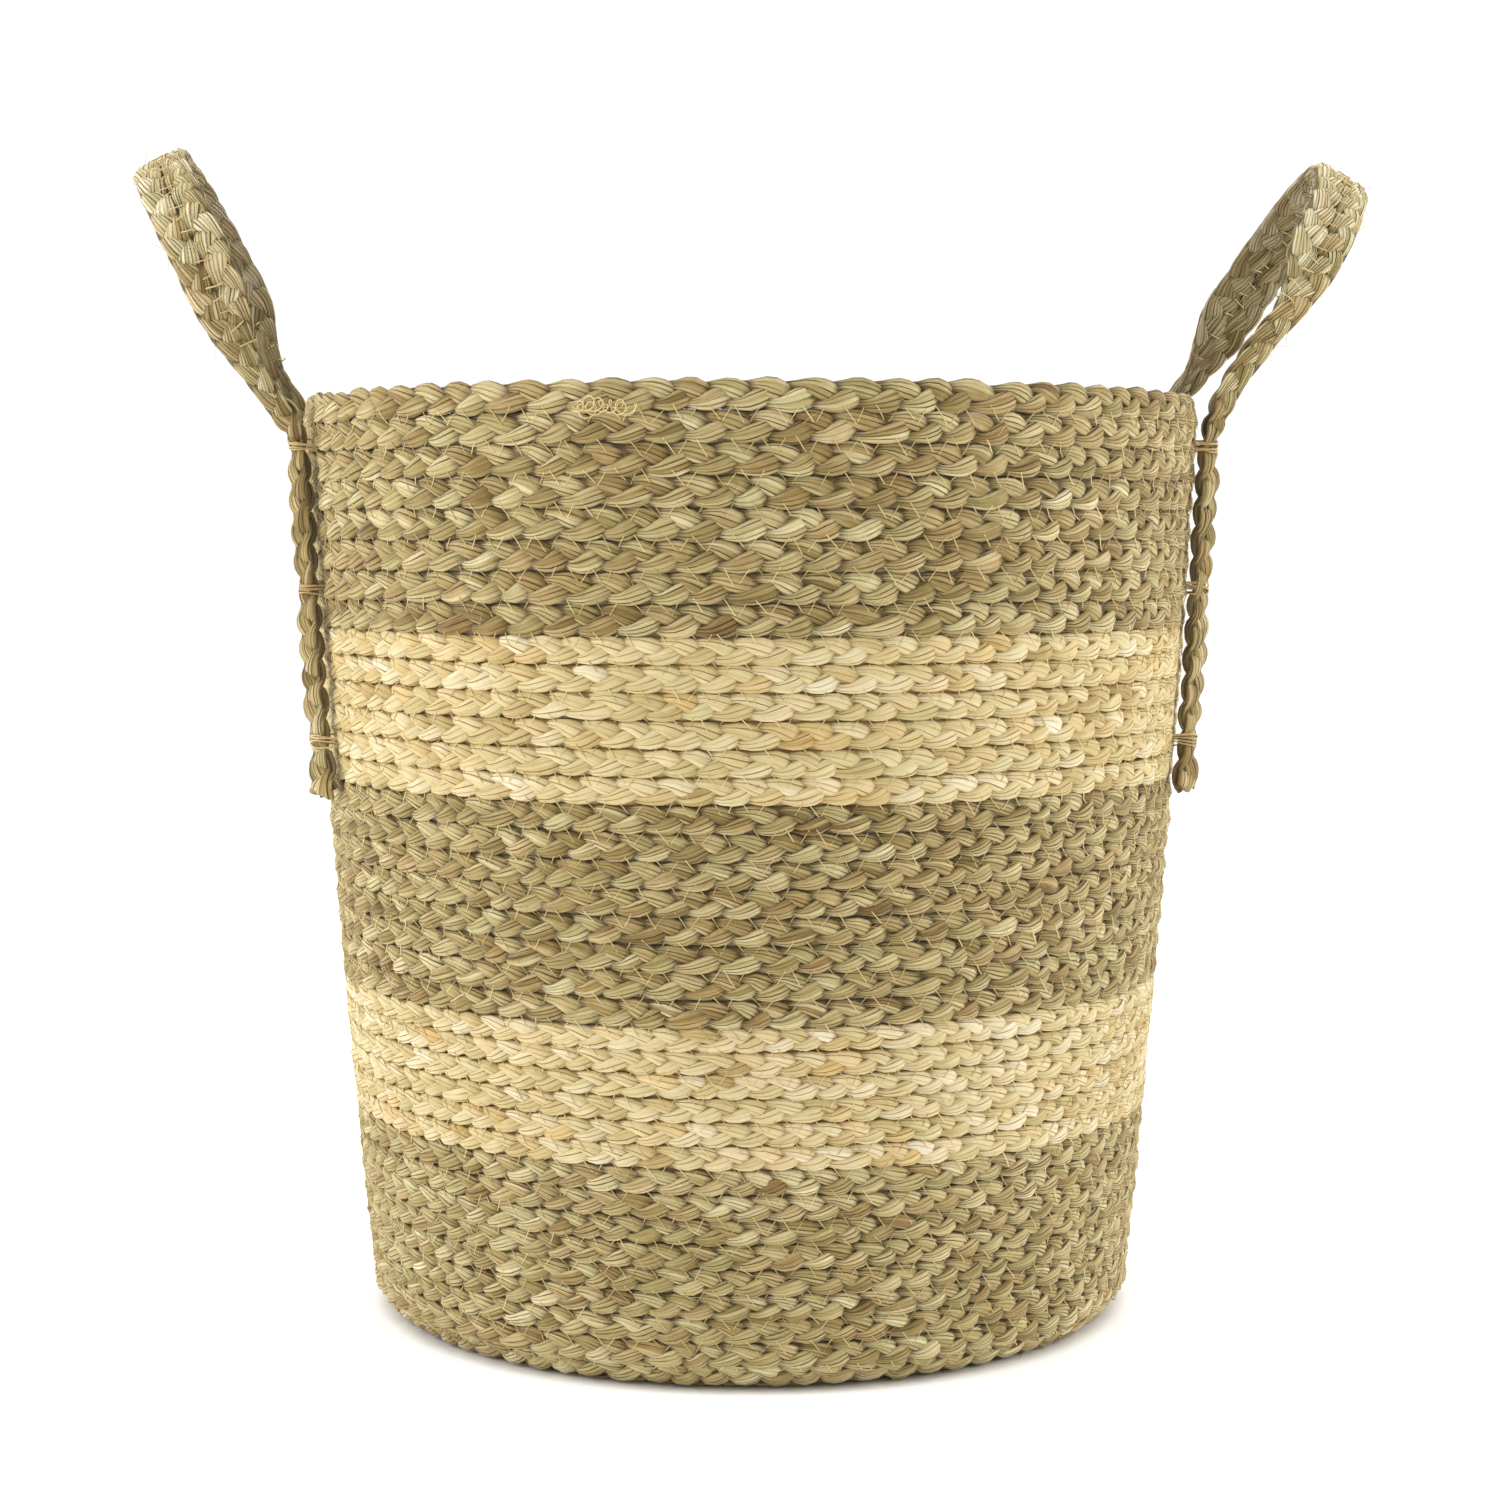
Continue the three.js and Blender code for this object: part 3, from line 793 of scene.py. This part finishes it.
def outerPath(side):
    # up the front leg, round the loop and down the back leg, with the strap's face, width and thickness
    lean, bulge = strap["lean"][side], strap["bulge"][side]
    x, y, z, face = loopLine((2 * mm, 2 * mm), lambda z, y: pairShift(side, z, y))
    loop = loopPlace(lean, x, y, z)
    loopFace = turnFace(lean, face)
    heights = np.linspace(strap["tailHeight"], strap["bendHeight"], 80)
    half = strap["legSpacing"] / 2
    leg = np.stack([wallReach(heights, bulge), -half + 0 * heights, heights], -1)
    legTurn = math.radians(strap["legTurn"])
    legFace = unit(unit(leg * [1, 1, 0]) * math.cos(legTurn) + np.array([0, -math.sin(legTurn), 0]))
    back = leg[::-1] * [1, -1, 1]
    backFace = legFace[::-1] * [1, -1, 1]
    points = np.concatenate([leg, loop, back])
    faces = np.concatenate([legFace, loopFace, backFace])
    drawn = 1 - strap["pinch"] * tieGrip(heights)
    tail = smooth(-heights, -strap["tailHeight"] - 14 * mm, -strap["tailHeight"])
    legWide = strap["legWide"] * (drawn * (1 + strap["tailFlare"] * tail))
    legThick = strap["legThick"] * drawn
    width = np.concatenate([legWide, outerWidth(side, z, y), legWide[::-1]])
    thick = np.concatenate([legThick, strap["gripThick"] + 0 * z, legThick[::-1]])
    even, points, others = evenly(points, np.column_stack([faces, width, thick]), strap["step"])
    return even, softened(points, 4), softened(others, 3)


def innerPath(side):
    # the same loop without legs, one braid further in; its tips slip in behind the outer braid
    lean = strap["lean"][side]

    def joined(z, y):
        tip, pair = atEnd("tipHeight", side, y), atEnd("pairHeight", side, y)
        return np.clip((z - tip) / (pair - tip), 0, 1)

    def shift(z, y):
        apart = (outerWidth(side, z, y) + innerWidth(side, z, y)) / 2 - strap["sewnIn"]
        return pairShift(side, z, y) - apart * (0.15 + 0.85 * joined(z, y))

    x, y, z, face = loopLine(strap["tipHeight"][side], shift)
    share = joined(z, y)
    points = loopPlace(lean, x, y, z) - turnFace(lean, face) * (2.6 * mm * (1 - share))[:, None]
    others = np.column_stack([turnFace(lean, face), innerWidth(side, z, y),
                              strap["gripThick"] * (0.55 + 0.45 * smooth(share, 0, 1))])
    even, points, others = evenly(points, others, strap["step"])
    return even, softened(points, 3), softened(others, 5)


def handleBraid(path, sign, rng, mirror):
    # a braid carried along the path; sign is the way it winds
    even, points, others = path
    ahead = unit(np.gradient(points, axis=0))
    face = others[:, :3]
    face = unit(face - ahead * (face * ahead).sum(-1, keepdims=True))
    across = unit(np.cross(ahead, face))
    if mirror:  # the left handle is the right one's shape turned half round
        points, across, face = (values * [-1, -1, 1] for values in (points, across, face))
        ahead = ahead * [-1, -1, 1]
    turn = sign * 2 * np.pi * even / strap["leafTurn"] + 0.3 * drift(len(even), 30, rng)
    turn = turn + rng.uniform(0, 6)
    outward = np.cross(ahead, across)
    woven = weave(points, across, outward, turn, others[:, 3], others[:, 4], rng, False, braidForms["handle"],
                  int(even[-1] / (14 * mm)))
    high, low = strap["paintedLegShadeBelow"]
    onLeg = smooth(-points[:, 2], -high, -low)
    onTop = smooth(points[:, 2], *strap["paintedTopLightFrom"])
    # painted light: a lighter tone at the loop's top and a darker one on the legs
    paintedLight = strap["paintedTopLight"] * onTop - strap["paintedLegShade"] * onLeg
    # painted shade on the face that looks into the loop, more on the legs
    shaded = strap["shaded"][0] + strap["shaded"][1] * onLeg
    width, thick = others[None, :, 3, None], others[None, :, 4, None]
    strands = strandPart(woven, even, thick, width, rng, False, strap["sides"], moods["handle"],
                         paintedLight[None, :, None], shaded[None, :, None])
    core = corePart(woven, points, even, others[:, 3] * coreForm["strapWide"], False,
                    coreForm["dark"]["handle"], coreForm["strapIn"])
    return [strands, core]


for sideIndex, (side, lean) in enumerate(strap["lean"].items()):
    rng = np.random.default_rng(strap["seed"] + sideIndex)
    mirror = side == "left"
    flip = -1 if mirror else 1
    a = math.radians(lean)
    ends = [(flip * (strap["hingeX"] + z * math.sin(a)), 0, strap["hingeZ"] + z * math.cos(a))
            for z in strap["blend"]]
    outer = addPiece(side + "_outer_strap_braid", handleBraid(outerPath(side), -1, rng, mirror),
                     handleSeagrass)
    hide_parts(side + "_outer_grip_braid", side + "_front_leg", side + "_back_leg")
    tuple(ends[0])
    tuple(ends[1])
    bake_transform(outer)
    inner = addPiece(side + "_inner_strap_braid", handleBraid(innerPath(side), 1, rng, mirror),
                     handleSeagrass)
    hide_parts(side + "_inner_grip_braid")
    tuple(ends[0])
    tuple(ends[1])
    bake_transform(inner)
print("handles woven")


# ---- Ties: a few turns of twine round each leg and through the wall

tie = {
    "turns": 5, "apart": 0.8 * mm, "half": 0.32 * mm, "perTurn": 24, "sides": 5, "seed": 83,
    "into": 2.5 * mm,  # how far the turns reach into the wall
}


def tieLine(height, flip, front, bulge, rng):
    # an oval helix: outside it hugs the leg, inside it runs on into the wall
    count = tie["turns"] * tie["perTurn"] + 1
    spin = np.linspace(0, 2 * np.pi * tie["turns"], count) - np.pi / 2
    drawn, a = 1 - strap["pinch"], math.radians(strap["legTurn"])
    legWide, legThick = strap["legWide"] * drawn / 2, strap["legThick"] * drawn / 2
    wide = math.hypot(legWide * math.cos(a), legThick * math.sin(a)) + tie["half"]
    over = math.hypot(legWide * math.sin(a), legThick * math.cos(a)) + tie["half"]
    deep = np.where(np.sin(spin) > 0, over, strap["standoff"] + tie["into"])
    lift = np.interp(spin, spin[[0, -1]], [-0.5, 0.5]) * tie["turns"] * tie["apart"]
    tall = height + lift + 1.4 * mm * drift(count, tie["turns"] * 3, rng)
    squeeze = 1 + 0.09 * drift(count, tie["turns"] * 4, rng)
    place = np.array([wallReach(height, bulge), front * strap["legSpacing"] / 2, 0])
    out = unit(place)
    aside = np.array([-out[1], out[0], 0])
    line = place + aside * (wide * squeeze * np.cos(spin))[:, None]
    line = line + out * (deep * squeeze * np.sin(spin))[:, None]
    line[:, 2] = tall
    facing = aside * np.cos(spin)[:, None] + out * np.sin(spin)[:, None]
    turned = np.array([flip, flip, 1.0])
    return (line * turned)[None], (facing * turned)[None]


for sideIndex, side in enumerate(("right", "left")):
    for frontIndex, frontName in enumerate(("front", "back")):
        for height, name in zip(tieHeights, tieNames):
            seed = tie["seed"] + sideIndex * 10 + frontIndex * 5 + int(height * 1000)
            rng = np.random.default_rng(seed)
            flip = 1 if side == "right" else -1
            front = (-1 if frontName == "front" else 1) * flip
            line, facing = tieLine(height, flip, front, strap["bulge"][side], rng)
            label = f"{side}_{frontName}_{name}"
            part = threadPart(line, facing, tie["half"], rng, tie["sides"])
            piece = addPiece(label + "_twine", [part], twine)
            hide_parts(label + "_tie")
            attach(piece, "basket")
print("legs tied")


# ---- Strap stitches: a zigzag of thread that closes the channel between a strap's two braids

ladder = {"pitch": 11 * mm, "reach": 3.0 * mm, "run": 1.2 * mm, "half": 0.26 * mm, "seed": 131}


def ladderPart(side, face, rng):
    # strokes go from one braid to the other and back, each a little further along the strap
    lean = strap["lean"][side]
    shift = lambda z, y: pairShift(side, z, y) - outerWidth(side, z, y) / 2 + strap["sewnIn"] / 2
    x, y, z, outward = loopLine([tip + 12 * mm for tip in strap["tipHeight"][side]], shift)
    points = loopPlace(lean, x, y, z)
    even, points, others = evenly(points, turnFace(lean, outward), 0.5 * mm)
    points, out = softened(points, 6), unit(softened(others, 12))
    aside = unit(np.cross(unit(np.gradient(points, axis=0)), out))
    starts = np.arange(3 * mm, even[-1] - 9 * mm, ladder["pitch"])
    lines, facing = [], []
    for first, back in ((0, 1), (ladder["pitch"] / 2, -1)):
        t = np.array([0, 0.12, 0.5, 0.88, 1])
        lift = strap["gripThick"] / 2 * np.array([0.3, 0.98, 0.93, 0.98, 0.3])
        place = starts[:, None] + first + rng.normal(0, 0.8 * mm, (len(starts), 1)) + ladder["run"] * t
        spot = np.clip((place / (0.5 * mm)).astype(int), 0, len(points) - 1)
        across = back * ladder["reach"] * (2 * t - 1) * rng.uniform(0.8, 1.3, (len(starts), 1))
        raised = out[spot] * (face * lift)[None, :, None]
        lines.append(points[spot] + aside[spot] * across[..., None] + raised)
        facing.append(out[spot] * face)
    lines, facing = np.concatenate(lines), np.concatenate(facing)
    if side == "left":
        lines, facing = lines * [-1, -1, 1], facing * [-1, -1, 1]
    return threadPart(lines, facing, ladder["half"], rng)


for sideIndex, side in enumerate(strap["lean"]):
    rng = np.random.default_rng(ladder["seed"] + sideIndex)
    parts = [ladderPart(side, face, rng) for face in (1, -1)]
    piece = addPiece(side + "_strap_stitches", parts, sewingThread)
    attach(piece, side + "_handle")
print("straps stitched")


# ---- Loose ends: stray fibres that stand off the braids, and a thread tangle left on the top row

loose = {
    "wall": 1400, "strap": 110,  # how many fibres
    "long": (3 * mm, 9 * mm), "half": 0.07 * mm, "seed": 211,
    "strapHalf": (3.4, 4.6),  # mm from a strap's middle line to where a fibre starts
    "tangle": (-60 * mm, 345 * mm), "tangleWide": 9 * mm, "tangleTall": 1.2 * mm,
    "curl": 2.6 * mm, "tangleHalf": 0.2 * mm,
}


def fibrePart(base, out, ahead, rng):
    # p(t) = base + long (t ahead' + (lift t + bend t^2) out + sway t^2 aside)
    count = len(base)
    t = np.linspace(0, 1, 5)[None, :, None]
    pick = lambda low, high: rng.uniform(low, high, (count, 1, 1))
    aside = np.cross(out, ahead)
    angle = rng.uniform(-0.9, 0.9, (count, 1)) + (rng.uniform(size=(count, 1)) < 0.5) * np.pi
    way = (ahead * np.cos(angle) + aside * np.sin(angle))[:, None]
    side = np.cross(out, way[:, 0])[:, None]
    out = out[:, None]
    lines = base[:, None] + pick(*loose["long"]) * (
        way * t + out * (pick(0.05, 0.45) * t + pick(-0.15, 0.3) * t ** 2) + side * pick(-0.4, 0.4) * t ** 2)
    return threadPart(lines, np.broadcast_to(out, lines.shape), loose["half"], rng, 3)


looseRng = np.random.default_rng(loose["seed"])
rowPick = looseRng.integers(0, len(rowWoven), loose["wall"])
spots = []
for index in range(len(rowWoven)):
    share = looseRng.uniform(0, 1, int((rowPick == index).sum()))
    centre, up, out, width = rowFrame(index, share)
    reach = looseRng.uniform(-0.45, 0.45, (len(share), 1)) * width
    spots.append(np.stack([centre + up * reach + out * wall["thick"] * 0.42, out, np.cross(up, out)]))
spots = np.concatenate(spots, 1)
piece = addPiece("wall_stray_fibres", [fibrePart(*spots, looseRng)], sewingThread)
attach(piece, "basket")
for side in strap["lean"]:
    points, others = outerPath(side)[1:]
    ahead = unit(np.gradient(points, axis=0))
    above = np.flatnonzero(points[:, 2] > strap["hingeZ"] + 20 * mm)
    spot = looseRng.choice(above, loose["strap"])
    turned = np.array([1, 1, 1]) if side == "right" else np.array([-1, -1, 1])
    face = unit(others[spot, :3])
    aside = unit(np.cross(ahead[spot], face))
    angle = looseRng.uniform(0, 2 * np.pi, (len(spot), 1))
    out = face * np.cos(angle) + aside * np.sin(angle)
    thickHalf, wideHalf = loose["strapHalf"]
    base = points[spot] + face * np.cos(angle) * thickHalf * mm + aside * np.sin(angle) * wideHalf * mm
    part = fibrePart(base * turned, out * turned, ahead[spot] * turned, looseRng)
    piece = addPiece(side + "_strap_stray_fibres", [part], sewingThread)
    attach(piece, side + "_handle")

# the tangle is two threads that run along the row in curls: a circle carried along a slow wave
t = np.linspace(0, 1, 150)
tangle = []
for curls in (5.5, 6.5):
    phase = looseRng.uniform(0, 2 * np.pi, 3)
    curl = loose["curl"] * (0.7 + 0.3 * np.cos(9 * t + phase[2]))
    spin = 2 * np.pi * curls * t
    x = loose["tangle"][0] + loose["tangleWide"] * (2 * t - 1) + curl * np.cos(spin + phase[0])
    z = loose["tangle"][1] + loose["tangleTall"] * np.cos(7 * t + phase[1])
    z = z + curl * np.sin(spin + phase[0])
    skin = np.polyval(wallCurve, z) + 0.9 * mm + 0.8 * mm * np.cos(spin + phase[1])
    tangle.append(np.stack([x, -np.sqrt(skin ** 2 - x ** 2), z], -1))
tangle = np.stack(tangle)
part = threadPart(tangle, unit(tangle * [1, 1, 0]), loose["tangleHalf"], looseRng, 5)
piece = addPiece("thread_tangle", [part], sewingThread)
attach(piece, "basket")
print("loose ends placed")


# ---- Floor, light and camera

studio = {
    "away": 1.150, "height": 0.303, "round": -3.5, "pitchDown": 4.3, "lens": 69.6, "sensor": 36,
    "floor": 12.0, "floorGlow": 0.28, "glowFrom": (0.142, 0.154),  # metres from the basket's middle
    "sides": 1.05, "front": 0.39,  # how bright the room's walls are
    "softboxes": [  # place, size, watts
        ((-1.5, -0.25, 0.75), 1.1, 11), ((1.5, -0.25, 0.75), 1.1, 9), ((0, -0.4, 2.0), 1.6, 10),
    ],
}
# matt white board: plain and pale, with no gloss to mirror the basket
floorMaterial = bpy.data.materials.new("matt_white_floor")
floorMaterial.use_nodes = True
board = floorMaterial.node_tree
floorShader = board.nodes["Principled BSDF"]
floorShader.inputs["Base Color"].default_value = hexColour("#fafafa")
floorShader.inputs["Roughness"].default_value = 0.9
floorShader.inputs["Emission Color"].default_value = (1, 1, 1, 1)
# painted light: the floor glows though it is no lamp, except under the basket and close round its foot, where
# the fade leaves a painted contact shadow
place = addNode(board, "TexCoord", give="Object")
reach = addNode(board, "VectorMath", {0: place}, operation="LENGTH", give="Value")
near, far = studio["glowFrom"]
glow = addNode(board, "MapRange", {"Value": reach},
               {"From Min": near, "From Max": far, "To Min": 0.0, "To Max": studio["floorGlow"]},
               interpolation_type="SMOOTHSTEP")
board.links.new(glow, floorShader.inputs["Emission Strength"])
floorMesh = bpy.data.meshes.new("floor")
halfFloor = studio["floor"] / 2
floorMesh.from_pydata([(-halfFloor, -halfFloor, 0), (halfFloor, -halfFloor, 0), (halfFloor, halfFloor, 0),
                       (-halfFloor, halfFloor, 0)], [], [(0, 1, 2, 3)])
floorMesh.materials.append(floorMaterial)
floor = bpy.data.objects.new("floor", floorMesh)
bpy.context.scene.collection.objects.link(floor)

for index, (place, size, watts) in enumerate(studio["softboxes"]):
    lamp = bpy.data.lights.new(f"softbox{index}", "AREA")
    lamp.size, lamp.energy = size, watts
    holder = bpy.data.objects.new(f"softbox{index}", lamp)
    holder.location = place
    aim = np.array([0, 0, 0.2]) - np.array(place)
    holder.rotation_euler = (math.atan2(math.hypot(aim[0], aim[1]), -aim[2]), 0, math.atan2(-aim[0], aim[1]))
    bpy.context.scene.collection.objects.link(holder)

world = bpy.data.worlds.new("white_studio")
world.use_nodes = True
# white walls all round but dim where the camera stands; what the camera sees of them is plain white
sky = world.node_tree
direction = addNode(sky, "TexCoord", give="Generated")
depthwise = addNode(sky, "SeparateXYZ", {0: direction}, give="Y")
walls = addNode(sky, "MapRange", {"Value": depthwise},
                {"From Min": -0.9, "From Max": 0.1, "To Min": studio["front"], "To Max": studio["sides"]},
                interpolation_type="SMOOTHSTEP")
seen = addNode(sky, "LightPath", give="Is Camera Ray")
bright = addNode(sky, "Math", {0: walls, 1: seen}, operation="MAXIMUM")
sky.links.new(bright, sky.nodes["Background"].inputs["Strength"])
sky.nodes["Background"].inputs["Color"].default_value = (1, 1, 1, 1)
bpy.context.scene.world = world
bpy.context.scene.view_settings.view_transform = "Standard"

lens = bpy.data.cameras.new("camera")
lens.lens, lens.sensor_width = studio["lens"], studio["sensor"]
camera = bpy.data.objects.new("camera", lens)
swing = math.radians(studio["round"])
camera.location = (studio["away"] * math.sin(swing), -studio["away"] * math.cos(swing), studio["height"])
camera.rotation_euler = (math.radians(90 - studio["pitchDown"]), 0, swing)
bpy.context.scene.collection.objects.link(camera)
bpy.context.scene.camera = camera
print("studio set")
